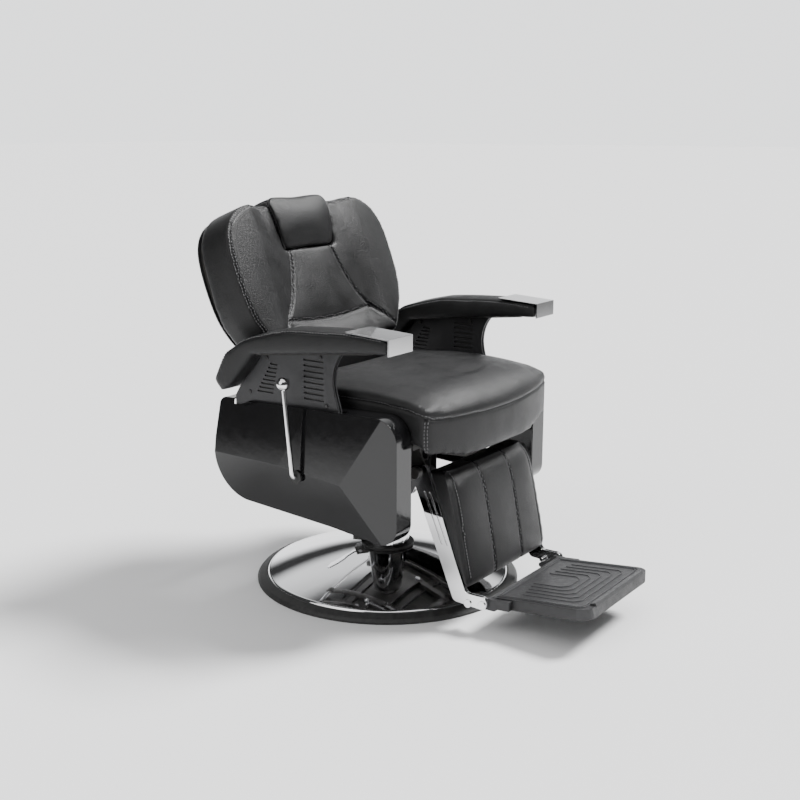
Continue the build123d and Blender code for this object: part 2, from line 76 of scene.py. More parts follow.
class Shader:
    """A small builder for one node-based material."""

    def __init__(self, name, **sockets):
        self.material = bpy.data.materials.new(name)
        self.material.use_nodes = True
        self.tree = self.material.node_tree
        self.nodes = self.tree.nodes
        self.bsdf = self.nodes["Principled BSDF"]
        for key, value in sockets.items():
            self.bsdf.inputs[key.replace("_", " ")].default_value = value
        self.place = self.nodes.new("ShaderNodeTexCoord").outputs["Object"]

    def link(self, a, b):
        self.tree.links.new(a, b)

    def noise(self, scale, detail=3.0, rough=0.5, stretch=None):
        node = self.nodes.new("ShaderNodeTexNoise")
        node.inputs["Scale"].default_value = scale
        node.inputs["Detail"].default_value = detail
        node.inputs["Roughness"].default_value = rough
        self.link(self.stretched(stretch), node.inputs["Vector"])
        return node.outputs["Fac"]

    def cells(self, scale, softness=0.0):
        node = self.nodes.new("ShaderNodeTexVoronoi")
        node.inputs["Scale"].default_value = scale
        if softness:
            node.feature = "SMOOTH_F1"
            node.inputs["Smoothness"].default_value = softness
        self.link(self.place, node.inputs["Vector"])
        return node.outputs["Distance"]

    def stretched(self, stretch):
        if stretch is None:
            return self.place
        node = self.nodes.new("ShaderNodeMapping")
        node.inputs["Scale"].default_value = stretch
        self.link(self.place, node.inputs["Vector"])
        return node.outputs["Vector"]

    def spread(self, source, low, high, start=0.0, end=1.0):
        """The source's range from start to end, stretched to run from low to high."""
        node = self.nodes.new("ShaderNodeMapRange")
        node.inputs["From Min"].default_value = start
        node.inputs["From Max"].default_value = end
        node.inputs["To Min"].default_value = low
        node.inputs["To Max"].default_value = high
        self.link(source, node.inputs["Value"])
        return node.outputs["Result"]

    def mix(self, source, dark, light, start=0.0, end=1.0):
        """A colour between dark and light, as the source goes from start to end."""
        node = self.nodes.new("ShaderNodeMix")
        node.data_type = "RGBA"
        node.inputs["A"].default_value = (*dark, 1)
        node.inputs["B"].default_value = (*light, 1)
        self.link(self.spread(source, 0.0, 1.0, start, end), node.inputs["Factor"])
        return node.outputs["Result"]

    def sum(self, a, b, weight):
        """a plus weight times b."""
        node = self.nodes.new("ShaderNodeMath")
        node.operation = "MULTIPLY_ADD"
        node.inputs[1].default_value = weight
        self.link(b, node.inputs[0])
        self.link(a, node.inputs[2])
        return node.outputs["Value"]

    def bump(self, height, depth, strength, rounding=0.0):
        """Relief from a height map; rounding also softens the edges, by that radius."""
        node = self.nodes.new("ShaderNodeBump")
        if rounding:
            edge = self.nodes.new("ShaderNodeBevel")
            edge.samples = 4
            edge.inputs["Radius"].default_value = rounding
            self.link(edge.outputs["Normal"], node.inputs["Normal"])
        node.inputs["Distance"].default_value = depth
        node.inputs["Strength"].default_value = strength
        self.link(height, node.inputs["Height"])
        self.link(node.outputs["Normal"], self.bsdf.inputs["Normal"])

    def edge_sharpness(self, low, high):
        """How sharp the surface's edges are, from 0 on flats to 1 on the sharpest corners."""
        node = self.nodes.new("ShaderNodeNewGeometry")
        return self.spread(node.outputs["Pointiness"], 0.0, 1.0, low, high)


def leather():
    s = Shader("black_leather", Roughness=0.36, Specular_IOR_Level=0.4)
    pebble = s.cells(620, 0.4)
    creases = s.noise(330, 5.0, 0.62)
    broad = s.noise(24, 3.0)
    grain = s.sum(pebble, creases, 0.5)
    s.bump(grain, 0.0008, 0.75)
    s.link(s.spread(s.sum(broad, creases, 0.6), 0.33, 0.48, 0.55, 1.05), s.bsdf.inputs["Roughness"])
    colour = s.mix(s.sum(broad, pebble, 0.5), (0.004, 0.004, 0.0044), (0.011, 0.011, 0.0116), 0.4, 0.95)
    s.link(colour, s.bsdf.inputs["Base Color"])
    return s.material


def thread():
    s = Shader("black_thread_painted_sheen", Roughness=0.5, Sheen_Weight=0.4)
    twist = s.noise(1800, 2.0)
    # The thread's colour runs from black up to a lighter grey: the lighter grey is a painted highlight
    # standing for the sheen the stitches catch.
    s.link(s.mix(twist, (0.035, 0.035, 0.037), (0.12, 0.12, 0.125)), s.bsdf.inputs["Base Color"])
    s.bump(twist, 0.0002, 0.5)
    return s.material


def gloss_black():
    s = Shader("gloss_black", Roughness=0.09, Specular_IOR_Level=0.42, Coat_Weight=0.2, Coat_Roughness=0.04)
    ripple = s.noise(60, 2.0)
    fine = s.noise(900, 2.0)
    s.link(s.spread(s.noise(38, 4.0, 0.7), 0.06, 0.15, 0.35, 0.8), s.bsdf.inputs["Roughness"])
    colour = s.mix(s.noise(9, 2.0), (0.004, 0.004, 0.0045), (0.008, 0.008, 0.0085))
    s.link(colour, s.bsdf.inputs["Base Color"])
    s.bump(s.sum(ripple, fine, 0.05), 0.0004, 0.25, 0.0025)
    return s.material


def matte_black():
    s = Shader("matte_black", Roughness=0.42, Specular_IOR_Level=0.45)
    spark = s.cells(1500)
    s.link(s.spread(s.noise(70, 4.0, 0.6), 0.33, 0.52, 0.3, 0.75), s.bsdf.inputs["Roughness"])
    # The colour is lighter on the surface's sharp edges.
    colour = s.mix(s.edge_sharpness(0.48, 0.58), (0.007, 0.007, 0.0075), (0.03, 0.03, 0.032))
    s.link(colour, s.bsdf.inputs["Base Color"])
    s.bump(spark, 0.0004, 0.35, 0.0012)
    return s.material


def black_rubber():
    s = Shader("black_rubber", Roughness=0.6, Specular_IOR_Level=0.4)
    dust = s.noise(55, 5.0, 0.65)
    s.link(s.mix(dust, (0.018, 0.018, 0.018), (0.05, 0.05, 0.049), 0.35, 0.8), s.bsdf.inputs["Base Color"])
    s.link(s.spread(dust, 0.48, 0.72, 0.3, 0.8), s.bsdf.inputs["Roughness"])
    s.bump(s.noise(900, 2.0), 0.0003, 0.4)
    return s.material


def chrome():
    s = Shader("chrome", Metallic=1.0, Roughness=0.05)
    s.link(s.mix(s.noise(14, 3.0), (0.80, 0.80, 0.81), (0.88, 0.88, 0.89)), s.bsdf.inputs["Base Color"])
    s.link(s.spread(s.noise(45, 6.0, 0.7), 0.03, 0.11, 0.35, 0.85), s.bsdf.inputs["Roughness"])
    s.bump(s.noise(22, 2.0), 0.0003, 0.12, 0.0012)
    return s.material


def brushed_steel():
    s = Shader("steel", Metallic=1.0, Roughness=0.32, Anisotropic=0.4)
    turned = s.noise(160, 3.0, 0.6, (1, 1, 9))
    s.link(s.mix(turned, (0.42, 0.42, 0.43), (0.60, 0.60, 0.61), 0.3, 0.7), s.bsdf.inputs["Base Color"])
    s.link(s.spread(turned, 0.24, 0.42, 0.3, 0.7), s.bsdf.inputs["Roughness"])
    s.bump(turned, 0.0002, 0.3)
    return s.material


def black_paint():
    s = Shader("black_paint", Roughness=0.4, Specular_IOR_Level=0.5, Coat_Weight=0.1, Coat_Roughness=0.2)
    orange_peel = s.noise(520, 2.0)
    # The colour is lighter on the surface's sharp edges.
    s.link(s.mix(s.edge_sharpness(0.5, 0.6), (0.008, 0.008, 0.0085), (0.05, 0.048, 0.046)), s.bsdf.inputs["Base Color"])
    s.link(s.spread(s.noise(60, 3.0), 0.3, 0.5, 0.3, 0.7), s.bsdf.inputs["Roughness"])
    s.bump(orange_peel, 0.0004, 0.4, 0.0008)
    return s.material


def black_board():
    s = Shader("black_board", Roughness=0.6)
    fibre = s.noise(90, 5.0, 0.6, (1, 0.12, 1))
    colour = s.mix(fibre, (0.010, 0.0095, 0.009), (0.032, 0.030, 0.027), 0.25, 0.8)
    s.link(colour, s.bsdf.inputs["Base Color"])
    s.bump(fibre, 0.0005, 0.4)
    return s.material


def cast_iron():
    s = Shader("cast_iron", Metallic=0.7, Roughness=0.6)
    sand = s.noise(420, 4.0, 0.7)
    s.link(s.mix(sand, (0.05, 0.048, 0.045), (0.14, 0.13, 0.125), 0.3, 0.8), s.bsdf.inputs["Base Color"])
    s.bump(sand, 0.0007, 0.6)
    return s.material


MATERIALS = {
    "black_leather": leather(), "gloss_black": gloss_black(), "matte_black": matte_black(),
    "black_rubber": black_rubber(), "chrome": chrome(), "steel": brushed_steel(),
    "black_paint": black_paint(), "black_board": black_board(), "cast_iron": cast_iron(),
}
THREAD = thread()

for part in frame["record"]["subparts"]:
    mesh = frame["nodes"][part["node"]].data
    mesh.materials.clear()
    mesh.materials.append(MATERIALS[part["material_slot"]])


# ---------------------------------------------------------------- mesh helpers

def new_object(name, vertices, faces, material, smooth=True):
    mesh = bpy.data.meshes.new(name)
    mesh.from_pydata([tuple(v) for v in vertices], [], faces)
    mesh.validate()
    mesh.materials.append(material)
    if smooth:
        mesh.polygons.foreach_set("use_smooth", [True] * len(mesh.polygons))
    obj = bpy.data.objects.new(name, mesh)
    SCENE.collection.objects.link(obj)
    return obj


def points_of(obj):
    co = np.zeros(len(obj.data.vertices) * 3)
    obj.data.vertices.foreach_get("co", co)
    return co.reshape(-1, 3)


def set_points(obj, co):
    obj.data.vertices.foreach_set("co", co.reshape(-1))
    obj.data.update()


def normals_of(obj):
    mesh = obj.data
    mesh.update()
    out = np.zeros(len(mesh.vertices) * 3)
    mesh.vertex_normals.foreach_get("vector", out)
    return out.reshape(-1, 3)


def apply_modifiers(obj):
    graph = bpy.context.evaluated_depsgraph_get()
    mesh = bpy.data.meshes.new_from_object(obj.evaluated_get(graph))
    obj.modifiers.clear()
    obj.data = mesh


def smoothed(obj, rounds, factor=0.5):
    mod = obj.modifiers.new("smooth", "SMOOTH")
    mod.factor = factor
    mod.iterations = rounds
    apply_modifiers(obj)


def remeshed(obj, voxel, rounds):
    """A closed skin of even quads, with its hard edges rounded off."""
    mod = obj.modifiers.new("remesh", "REMESH")
    mod.mode = "VOXEL"
    mod.voxel_size = voxel
    apply_modifiers(obj)
    smoothed(obj, rounds)


def relaxed(field, obj, held, rounds):
    """A field of vectors averaged over neighbours again and again, kept small where the mesh is held."""
    edges = np.zeros(len(obj.data.edges) * 2, dtype=np.int64)
    obj.data.edges.foreach_get("vertices", edges)
    a, b = edges.reshape(-1, 2).T
    count = len(field)
    links = np.bincount(a, minlength=count) + np.bincount(b, minlength=count)
    hold_back = (1 - 0.35 * held)[:, None]
    for _ in range(rounds):
        total = np.stack([np.bincount(a, field[b, k], count) + np.bincount(b, field[a, k], count)
                          for k in range(3)], axis=1)
        field = 0.5 * field + 0.5 * total / links[:, None]
        field = field * hold_back
    return field


def smoothstep(x):
    x = np.clip(x, 0.0, 1.0)
    return x * x * (3 - 2 * x)


def spaced(points, step):
    """Points at an even spacing along a polyline."""
    points = np.asarray(points, float)
    lengths = np.linalg.norm(np.diff(points, axis=0), axis=1)
    along = np.concatenate([[0], np.cumsum(lengths)])
    count = max(2, int(round(along[-1] / step)) + 1)
    at = np.linspace(0, along[-1], count)
    return np.stack([np.interp(at, along, points[:, k]) for k in range(3)], axis=1)


def curved(points, step=0.004):
    """A smooth Catmull-Rom line through a few guide points, evenly spaced."""
    p = np.asarray(points, float)
    p = np.vstack([2 * p[0] - p[1], p, 2 * p[-1] - p[-2]])
    out = []
    for i in range(1, len(p) - 2):
        for t in np.linspace(0, 1, 24, endpoint=False):
            a, b, c, d = p[i - 1], p[i], p[i + 1], p[i + 2]
            out.append(0.5 * (2 * b + (c - a) * t + (2 * a - 5 * b + 4 * c - d) * t * t
                              + (3 * b - a - 3 * c + d) * t ** 3))
    out.append(p[-2])
    return spaced(out, step)


def nearest_on(line, co):
    """For each point, its distance to a line's points."""
    best = np.full(len(co), 1e9)
    batch = 64
    for start in range(0, len(line), batch):
        chunk = line[start:start + batch]
        gap = np.linalg.norm(co[:, None, :] - chunk[None, :, :], axis=2).min(axis=1)
        best = np.minimum(best, gap)
    return best


class Skin:
    """Finds places on a finished mesh."""

    def __init__(self, obj):
        mesh = obj.data
        co = points_of(obj)
        faces = [tuple(p.vertices) for p in mesh.polygons]
        self.tree = BVHTree.FromPolygons([Vector(v) for v in co], faces)

    def drop(self, line, way):
        """Each point of a line moved along a direction until it meets the mesh."""
        out = []
        way = Vector(way).normalized()
        back_off, reach = 0.12, 0.3
        for p in line:
            hit = self.tree.ray_cast(Vector(p) - way * back_off, way, reach)
            if hit[0] is None:
                hit = self.tree.find_nearest(Vector(p))
            out.append(hit[0])
        return np.array(out)

    def snap(self, line):
        """Each point of a line moved to the nearest place on the mesh."""
        return np.array([self.tree.find_nearest(Vector(p))[0] for p in line])

    def normal(self, p):
        return np.array(self.tree.find_nearest(Vector(p))[1])


def groove(obj, line, depth, width):
    """Sinks the mesh along a line."""
    co = points_of(obj)
    gap = nearest_on(line, co)
    co -= normals_of(obj) * (depth * np.exp(-(gap / width) ** 2))[:, None]
    set_points(obj, co)


def stitches(name, skin, line, offsets, body, length=0.0056, pitch=0.0076, radius=0.0011):
    """Rows of short thread stitches beside a seam line, with their ends tucked into the leather."""
    vertices, faces = [], []
    sides = 6
    tuck, lift = -0.0005, 0.0003
    profile = ((-0.5, tuck, 0.4), (-0.3, lift, 1.0), (0.3, lift, 1.0), (0.5, tuck, 0.4))
    line = spaced(line, pitch)
    for k in range(1, len(line) - 1):
        tangent = line[k + 1] - line[k - 1]
        tangent /= np.linalg.norm(tangent) + 1e-12
        normal = skin.normal(line[k])
        across = np.cross(normal, tangent)
        across /= np.linalg.norm(across) + 1e-12
        for offset in offsets:
            centre = np.array(skin.tree.find_nearest(Vector(line[k] + across * offset))[0])
            rings = []
            for t, height, fat in profile:
                ring_at = centre + tangent * length * t + normal * height
                rings.append(len(vertices))
                for j in range(sides):
                    a = 2 * math.pi * j / sides
                    vertices.append(ring_at + (across * math.cos(a) + normal * math.sin(a)) * radius * fat)
            for a, b in zip(rings, rings[1:]):
                for j in range(sides):
                    n = (j + 1) % sides
                    faces.append((a + j, a + n, b + n, b + j))
            faces.append(tuple(rings[0] + j for j in reversed(range(sides))))
            faces.append(tuple(rings[-1] + j for j in range(sides)))
    obj = new_object(name, vertices, faces, THREAD)
    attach(obj, body)
    return obj


# ---------------------------------------------------------------- the padded pieces

class Pad:
    """One upholstered pad: starts from its CAD solid, swells by simulation, then gets its seams.

    voxel and rounds say how fine and how round the skin starts, pressure how hard it is filled,
    cap how far it may swell, and even how widely the swelling is evened out.
    """

    def __init__(self, name, node, body, voxel, rounds, cap, even, pressure=4.0):
        source = frame["nodes"][node]
        self.obj = bpy.data.objects.new(name, source.data.copy())
        SCENE.collection.objects.link(self.obj)
        self.name, self.node, self.body = name, node, body
        self.cap, self.even, self.pressure = cap, even, pressure
        remeshed(self.obj, voxel, rounds)
        self.obj.data.materials.clear()
        self.obj.data.materials.append(MATERIALS["black_leather"])
        self.start = points_of(self.obj).copy()
        self.pins = np.zeros(len(self.start))

    def hold(self, weight):
        """Vertices that stay put while the rest swells: weight is 1 where held fast."""
        self.pins = np.maximum(self.pins, weight)

    def make_cloth(self):
        group = self.obj.vertex_groups.new(name="held")
        for i in np.nonzero(self.pins > 0.02)[0]:
            group.add([int(i)], float(self.pins[i]), "REPLACE")
        cloth = self.obj.modifiers.new("cloth", "CLOTH")
        cloth.settings.quality = 4
        cloth.settings.mass = 0.3
        cloth.settings.tension_stiffness = 12
        cloth.settings.compression_stiffness = 12
        cloth.settings.bending_stiffness = 0.8
        cloth.settings.use_pressure = True
        cloth.settings.uniform_pressure_force = self.pressure
        cloth.settings.effector_weights.gravity = 0
        cloth.settings.vertex_group_mass = "held"
        cloth.collision_settings.use_collision = False
        cloth.point_cache.frame_start = 1
        cloth.point_cache.frame_end = SIM_FRAMES

    def settle(self):
        """Takes the simulated shape, with its swelling capped and evened out."""
        apply_modifiers(self.obj)
        moved = points_of(self.obj) - self.start
        far = np.linalg.norm(moved, axis=1)
        keep = np.minimum(1.0, self.cap / np.maximum(far, 1e-9))
        moved = relaxed(moved * keep[:, None], self.obj, self.pins, self.even)
        set_points(self.obj, self.start + moved)
        self.refine()

    def refine(self):
        """One finer level of mesh, shaded smooth."""
        smoothed(self.obj, 2, 0.4)
        mod = self.obj.modifiers.new("finer", "SUBSURF")
        mod.levels = 1
        apply_modifiers(self.obj)
        self.obj.data.polygons.foreach_set("use_smooth", [True] * len(self.obj.data.polygons))

    def finish(self, fill):
        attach(self.obj, self.body)
        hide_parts(self.node)


def on_back(x, up, behind=0.0):
    """A point on the back rest, from its side offset, its height up the rest and its depth."""
    return np.array((x, 0, 0)) * MM + LUMBAR + UP * up * MM + REAR * behind * MM


def both(points):
    """A line and its mirror image on the other side of the chair."""
    points = np.asarray(points, float)
    other = points.copy()
    other[:, 0] *= -1
    return points, other


def flat(points):
    return np.array(points, float) * MM


# seam guides, in millimetres: round the seat's top, down its front corners, over the back's panels,
# down the leg pad, along the arm pads and round the headrest's ends
seat_rim = curved(flat([(-262, 108, 500), (-263, 0, 503), (-263, -150, 502), (-262, -230, 497),
                        (-259, -282, 486), (-228, -303, 479), (-150, -316, 475), (0, -325, 472),
                        (150, -316, 475), (228, -303, 479), (259, -282, 486), (262, -230, 497),
                        (263, -150, 502), (263, 0, 503), (263, 108, 500)]))
seat_corners = both(curved(flat([(256, -284, 484), (258, -284, 450), (256, -284, 410), (254, -284, 398)])))
back_diagonals = both(curved([on_back(79, 168), on_back(92, 120), on_back(118, 60), on_back(152, 12),
                              on_back(196, -32), on_back(226, -58)]))
back_lumbar = curved([on_back(-160, 4), on_back(-80, -4), on_back(0, -7), on_back(80, -4), on_back(160, 4)])
back_rims = both(curved([on_back(118, 284, -14), on_back(160, 286, -18), on_back(214, 281, -19),
                         on_back(258, 258, -19), on_back(284, 222, -19), on_back(295, 165, -19),
                         on_back(295, 95, -19), on_back(286, 36, -19), on_back(264, -12, -19),
                         on_back(233, -58, -16), on_back(206, -120, -4)]))
leg_channels = both(curved(flat([(60, -262, 348), (60, -301, 350), (60, -322, 250), (60, -342, 130),
                                 (60, -348, 97)])))
leg_sides = both(curved(flat([(163, -262, 347), (164, -300, 346), (164, -324, 225), (163, -344, 110)])))
arm_top = curved(flat([(349, -235, 655), (349, -130, 661), (349, 25, 652), (349, 135, 622), (349, 198, 583),
                       (349, 232, 522)]))
arm_inner = arm_top * (0, 1, 1) + (0.266, 0, 0)
head_ends = both(curved([on_back(82, 184, 14), on_back(88, 215, 6), on_back(95, 270, 6), on_back(92, 303, 20),
                         on_back(92, 306, 45)]))

pads = {
    "seat": Pad("seat_upholstery", "seat_cushion", "seat",
                voxel=0.006, rounds=16, cap=0.012, even=110),
    "back": Pad("back_upholstery", "back_cushion", "back",
                voxel=0.0055, rounds=12, cap=0.012, even=40),
    "head": Pad("headrest_upholstery", "headrest_pad", "headrest",
                voxel=0.0045, rounds=18, cap=0.009, even=90),
    "arm": Pad("left_arm_upholstery", "left_arm_pad", "seat",
               voxel=0.004, rounds=26, cap=0.006, even=60, pressure=3.0),
    "leg": Pad("leg_upholstery", "leg_pad", "leg_rest",
               voxel=0.005, rounds=10, cap=0.009, even=22),
}


def near(line, pad, width):
    """1 on a line and 0 well away from it, for each point of a pad."""
    return np.exp(-(nearest_on(line, pad.start) / width) ** 2)


def hold_seams():
    """Undersides and seams stay put while the leather between them swells."""
    seat = pads["seat"]
    z = seat.start[:, 2]
    seat.hold(smoothstep((0.440 - z) / 0.03) * (seat.start[:, 1] > -0.25))
    seat.hold(smoothstep((0.405 - z) / 0.015))
    seat.hold(0.85 * near(seat_rim, seat, 0.009))
    back = pads["back"]
    deep = (back.start - LUMBAR) @ REAR
    back.hold(smoothstep((deep - 0.045) / 0.02))
    for line in (*back_diagonals, back_lumbar, *back_rims):
        back.hold(0.95 * near(line, back, 0.009))
    head = pads["head"]
    deep = (head.start - LUMBAR) @ REAR
    head.hold(smoothstep((deep - 0.058) / 0.01))
    arm = pads["arm"]
    arm.hold(smoothstep((0.612 - 0.111 * arm.start[:, 1] - arm.start[:, 2]) / 0.01)
             * (arm.start[:, 1] < 0.11))
    leg = pads["leg"]
    for line in (*leg_channels, *leg_sides):
        leg.hold(0.95 * near(line, leg, 0.008))
    rear = leg.start[:, 1] - (-0.262 + (leg.start[:, 2] - 0.284) * 0.372)
    leg.hold(smoothstep((rear + 0.012) / 0.01))


def shape_leg():
    """The leg pad's front face rolls down at its sides and ends, and narrows a little at its ends."""
    leg = pads["leg"].obj
    co = points_of(leg)
    facing = np.clip(normals_of(leg) @ LEG_FRONT + 0.25, 0, 1)
    half_width, middle, half_length = 0.180, 0.222, 0.128
    s = np.abs(co[:, 0]) / half_width
    t = (co[:, 2] - middle) / half_length
    sink = 0.012 * s ** 6 * np.clip(1 + 0.6 * t, 0.4, 1.6) + np.where(t > 0, 0.020, 0.005) * np.abs(t) ** 5
    co -= (sink * facing)[:, None] * LEG_FRONT
    co[:, 0] *= 1 - 0.045 * np.abs(t) ** 8
    set_points(leg, co)


def shape_seat():
    """The seat's top falls a little toward its sides and its front corners."""
    seat = pads["seat"].obj
    co = points_of(seat)
    top = smoothstep((co[:, 2] - 0.47) / 0.04)
    corner = smoothstep((np.abs(co[:, 0]) - 0.17) / 0.09) * smoothstep((-0.16 - co[:, 1]) / 0.13)
    side = smoothstep((np.abs(co[:, 0]) - 0.215) / 0.045)
    fall = 0.006
    co[:, 2] -= top * (fall * corner + fall * side)
    set_points(seat, co)


def shape_back():
    """The back rest is fullest at its sides, level with the lumbar seam."""
    back = pads["back"].obj
    co = points_of(back)
    up = (co - LUMBAR) @ UP
    deep = (co - LUMBAR) @ REAR
    wide = smoothstep((np.abs(co[:, 0]) - 0.20) / 0.06) * smoothstep((deep + 0.01) / 0.05)
    fullness, spread = 0.010, 0.09
    co[:, 0] += np.sign(co[:, 0]) * wide * fullness * np.exp(-(up / spread) ** 2)
    set_points(back, co)


shape_leg()
shape_seat()
shape_back()
for pad in pads.values():
    smoothed(pad.obj, 5)
    pad.start = points_of(pad.obj).copy()
hold_seams()
for pad in pads.values():
    pad.make_cloth()
for step in range(1, SIM_FRAMES + 1):
    SCENE.frame_set(step)
for pad in pads.values():
    pad.settle()
SCENE.frame_set(1)


def bulge_headrest():
    """The headrest is a short bolster: its front swells along the middle and is wider than its rear."""
    obj = pads["head"].obj
    co = points_of(obj)
    up = (co - LUMBAR) @ UP
    deep = (co - LUMBAR) @ REAR
    front = smoothstep((0.045 - deep) / 0.04)
    middle, half = 0.245, 0.072
    swell, drop, widening = 0.014, 0.006, 0.17
    round_off = np.clip(1 - ((up - middle) / half) ** 2, 0, 1) ** 0.6
    co -= (front * round_off * swell)[:, None] * REAR
    co -= (smoothstep((0.205 - up) / 0.02) * front * drop)[:, None] * UP
    co[:, 0] *= 1 + widening * smoothstep((0.022 - deep) / 0.02)
    set_points(obj, co)


def roll_seat_front():
    """The seat's top turns down at the front in one even roll, following the bowed front edge."""
    obj = pads["seat"].obj
    co = points_of(obj)
    reach, half_width = 0.110, 0.262
    stations = (0, 0.1, 0.18, 0.22, 0.25)
    crown = Skin(obj).drop([(x, -0.205, 0.60) for x in stations], (0, 0, -1))[:, 2]
    aside = np.abs(co[:, 0])
    bowed = (aside / half_width) ** 2
    bow = -0.3245 + 0.030 * bowed + 0.0095 * bowed ** 2
    low = 0.470 + 0.014 * bowed
    height = np.interp(aside, stations, crown) - low
    across = (co[:, 1] - bow) / reach - 1
    above = (co[:, 2] - low) / height
    fade = 1 - smoothstep((aside - 0.195) / 0.05)
    within = smoothstep(-across / 0.25) * smoothstep(above / 0.15) * fade
    fit = 1 + (1 / np.maximum(np.hypot(across, above), 0.5) - 1) * within
    co[:, 1] = bow + reach * (1 + across * fit)
    co[:, 2] = low + height * above * fit
    set_points(obj, co)
    smoothed(obj, 10)


bulge_headrest()
roll_seat_front()
seam_work = []


def sew(pad, name, line, way, depth, width, offsets):
    """Sinks a seam into a pad, and remembers its thread for when the pad is finished."""
    skin = Skin(pad.obj)
    line = skin.drop(line, way) if way is not None else skin.snap(line)
    groove(pad.obj, line, depth, width)
    seam_work.append((pad, name, line, offsets))


def lay_thread():
    skins = {}
    for pad, name, line, offsets in seam_work:
        if pad.name not in skins:
            skins[pad.name] = Skin(pad.obj)
        stitches(name, skins[pad.name], skins[pad.name].snap(line), offsets, pad.body)


sew(pads["seat"], "seat_rim_thread", seat_rim, None, 0.003, 0.0035, (0.004,))
for side, line in zip(("left", "right"), seat_corners):
    sew(pads["seat"], f"seat_{side}_corner_thread", line, None, 0.002, 0.003, (-0.0035, 0.0035))
for side, line in zip(("left", "right"), back_diagonals):
    sew(pads["back"], f"back_{side}_diagonal_thread", line, REAR, 0.005, 0.0045, (-0.0045, 0.0045))
for side, line in zip(("left", "right"), head_ends):
    sew(pads["head"], f"headrest_{side}_end_thread", line, None, 0.003, 0.0035, (0.0035,))
sew(pads["back"], "back_lumbar_thread", back_lumbar, REAR, 0.005, 0.0045, (-0.0045, 0.0045))
for side, line in zip(("left", "right"), back_rims):
    sew(pads["back"], f"back_{side}_rim_thread", line, None, 0.003, 0.0035, (-0.0035, 0.0035))
for side, line in zip(("left", "right"), leg_channels):
    sew(pads["leg"], f"leg_{side}_channel_thread", line, None, 0.004, 0.004, (-0.004, 0.004))
for side, line in zip(("left", "right"), leg_sides):
    sew(pads["leg"], f"leg_{side}_side_thread", line, None, 0.003, 0.0035, (0.0035,))
lay_thread()

for key, fill in (("seat", 0.7), ("back", 0.75), ("head", 0.8), ("leg", 0.7)):
    pads[key].finish(fill)


def mirrored_pad(pad, name, node):
    """The other arm's pad: the same mesh on the other side of the chair."""
    mesh = pad.obj.data.copy()
    obj = bpy.data.objects.new(name, mesh)
    SCENE.collection.objects.link(obj)
    co = points_of(obj)
    co[:, 0] *= -1
    set_points(obj, co)
    mesh.flip_normals()
    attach(obj, pad.body)
    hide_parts(node)


def sew_arms():
    """Two seams along the left arm pad, and their thread on both arms."""
    arm = pads["arm"]
    before = Skin(arm.obj)
    for name, line in (("outer", arm_top), ("inner", arm_inner)):
        line = before.snap(line)
        groove(arm.obj, line, 0.0022, 0.003)
        after = Skin(arm.obj)
        left = stitches(f"left_arm_{name}_thread", after, after.snap(line), (0.003,), arm.body)
        twin = new_object(f"right_arm_{name}_thread", points_of(left) * (-1, 1, 1),
                          [tuple(reversed(f.vertices)) for f in left.data.polygons], THREAD)
        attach(twin, arm.body)


sew_arms()
pads["arm"].finish(0.8)
mirrored_pad(pads["arm"], "right_arm_upholstery", "right_arm_pad")


# ---------------------------------------------------------------- pump return spring

def return_spring():
    """The pump's return spring: a copy of the CAD spring with a mesh of its own, fixed to the base."""
    obj = bpy.data.objects.new("pump_return_spring", frame["nodes"]["plunger_spring"].data.copy())
    SCENE.collection.objects.link(obj)
    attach(obj, "base")
    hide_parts("plunger_spring")
    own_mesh(obj)


return_spring()


# ---------------------------------------------------------------- footplate tread

def ribs(name, lines, width, height, body, slot):
    """Low raised ribs along lines on the footplate's sloping top."""
    slope_normal = (0, 0.1, 0.995)
    foot = -0.0006
    section = ((-0.5, foot), (-0.3, height), (0.3, height), (0.5, foot))
    corners = len(section)
    vertices, faces = [], []
    for line in lines:
        for k, p in enumerate(line):
            ahead = line[min(k + 1, len(line) - 1)] - line[max(k - 1, 0)]
            ahead /= np.linalg.norm(ahead)
            across = np.cross(slope_normal, ahead)
            for side, lift in section:
                vertices.append(p + across * side * width + np.array((0, 0, lift)))
            b = len(vertices) - corners
            a = b - corners
            if k == 0:
                faces.append(tuple(range(b, b + corners)))
                continue
            for j in range(corners):
                n = (j + 1) % corners
                faces.append((a + j, b + j, b + n, a + n))
        faces.append(tuple(reversed(range(b, b + corners))))
    obj = new_object(name, vertices, faces, MATERIALS[slot], smooth=False)
    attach(obj, body)


def on_tread(x, y):
    """A point on the footplate's top, which rises toward its front."""
    rear, rear_height, rise, length = -388, 79, 23.5, 233
    return np.array((x, y, rear_height + (rear - y) * rise / length)) * MM


def tread_rib_lines():
    """Two border ribs that follow the plate's edge, round five nested open ones."""
    lines = []
    half_width, front_edge, edge_bend = 153, -624, 32
    for inset, rear in ((9, -398), (15, -404)):
        side = half_width - inset
        front = front_edge + inset + 9
        bend = edge_bend - inset
        corner = [(side - bend + bend * math.sin(t), front + bend - bend * math.cos(t))
                  for t in np.linspace(math.pi / 2, 0, 9)]
        half = [(side, rear)] + corner
        loop = half + [(-x, y) for x, y in reversed(half)]
        lines.append(loop + [loop[0]])
    for step in range(5):
        side = 38 + 19 * step
        front = -512 - 17 * step
        rear = -430 - 4 * step
        half = [(side, rear), (side, front + 14), (side - 14, front)]
        lines.append(half + [(-x, y) for x, y in reversed(half)])
    return [spaced([on_tread(x, y) for x, y in line], 0.006) for line in lines]


ribs("footplate_tread", tread_rib_lines(), width=0.0032, height=0.0013, body="footrest", slot="matte_black")


# ---------------------------------------------------------------- floor, light and camera

